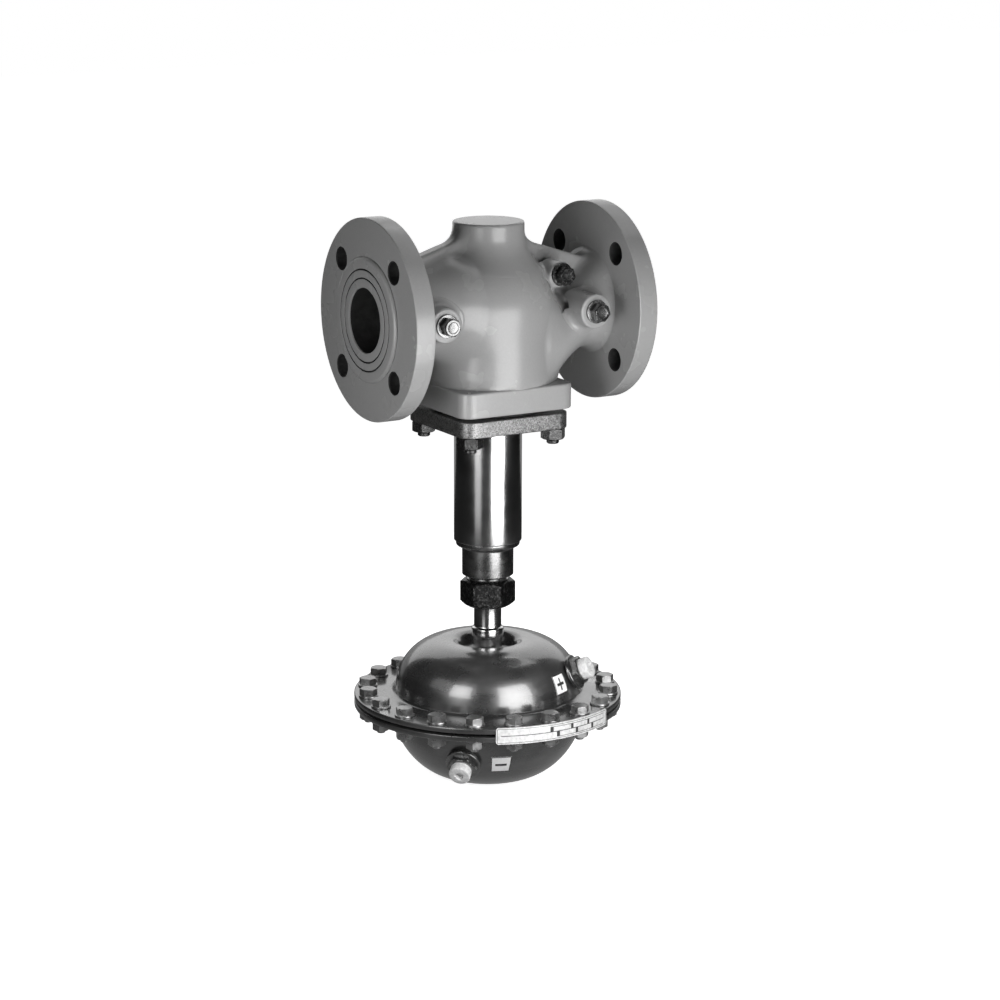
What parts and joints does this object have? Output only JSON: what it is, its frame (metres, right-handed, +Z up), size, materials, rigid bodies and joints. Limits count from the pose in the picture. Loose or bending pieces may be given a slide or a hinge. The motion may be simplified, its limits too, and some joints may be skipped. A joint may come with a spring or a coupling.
{
  "type": "differential pressure regulator",
  "caption": "Flanged globe valve body with a diaphragm actuator on a bellows tube below; control pressure on the diaphragm opens the valve against springs.",
  "frame": {"origin": "where the pipe's axis crosses the stem's axis, in the middle of the globe body", "axes": "+X along the pipe towards the right-hand flange, +Z up along the stem's axis, and the front with two of the tapping bosses faces -Y"},
  "size_m": [0.23, 0.2263, 0.4803],
  "materials": {
    "body_paint": "satin grey paint on a sand casting",
    "case_paint": "dark semi-gloss coating on pressed sheet",
    "zinc_plated": "zinc plated, slightly mottled",
    "plated_tube": "smooth bright tube",
    "machined_steel": "turned",
    "forged_nut": "dark forged skin with pitted flats",
    "bearing_bronze": "turned bronze",
    "spring_steel": "dark spring steel",
    "diaphragm_rubber": "matt rubber with fabric",
    "gasket_fibre": "dark compressed gasket sheet",
    "cap_plastic": "pale protective plastic",
    "plate_metal": "satin, blank"
  },
  "bodies": {
    "housing": {"actuator_neck": "machined_steel", "balance_bellows": "machined_steel", "bellows_tube": "plated_tube", "body_gasket": "gasket_fibre", "bonnet_flange": "zinc_plated", "bonnet_stud_1": "zinc_plated", "bonnet_stud_2": "zinc_plated", "bonnet_stud_3": "zinc_plated", "bonnet_stud_4": "zinc_plated", "cap_lower": "cap_plastic", "cap_upper": "cap_plastic", "case_bolt_01": "zinc_plated", "case_bolt_02": "zinc_plated", "case_bolt_03": "zinc_plated", "case_bolt_04": "zinc_plated", "case_bolt_05": "zinc_plated", "case_bolt_06": "zinc_plated", "case_bolt_07": "zinc_plated", "case_bolt_08": "zinc_plated", "case_bolt_09": "zinc_plated", "case_bolt_10": "zinc_plated", "case_bolt_11": "zinc_plated", "case_bolt_12": "zinc_plated", "case_bolt_13": "zinc_plated", "case_bolt_14": "zinc_plated", "case_bolt_15": "zinc_plated", "case_bolt_16": "zinc_plated", "case_bolt_17": "zinc_plated", "case_bolt_18": "zinc_plated", "case_bolt_19": "zinc_plated", "case_bolt_20": "zinc_plated", "connection_lower": "zinc_plated", "connection_upper": "zinc_plated", "coupling_nut": "forged_nut", "diaphragm": "diaphragm_rubber", "guide_bush": "bearing_bronze", "lower_case": "case_paint", "name_plate": "plate_metal", "neck_lock_nut": "machined_steel", "seat_ring": "machined_steel", "set_point_spring_inner": "spring_steel", "set_point_spring_outer": "spring_steel", "spring_seat": "machined_steel", "stem_guide": "bearing_bronze", "tapping_plug_left": "zinc_plated", "tapping_plug_right": "zinc_plated", "tapping_plug_upper": "zinc_plated", "tube_end_piece": "machined_steel", "upper_case": "case_paint", "valve_body": "body_paint"},
    "stem": {"valve_plug": "machined_steel", "plug_stem": "machined_steel", "bellows_ring": "machined_steel", "stem_coupling": "machined_steel", "diaphragm_stem": "machined_steel", "upper_plate": "machined_steel", "lower_plate": "machined_steel", "diaphragm_nut": "machined_steel"}
  },
  "joints": [
    {"name": "stem_travel", "type": "slide", "parent": "housing", "child": "stem", "axis": [0, 0, 1], "range_m": [-0.01, 0], "stiffness_N_per_m": 20000, "springref_m": 0.02, "deforming": ["balance_bellows", "diaphragm", "set_point_spring_outer", "set_point_spring_inner"]}
  ]
}
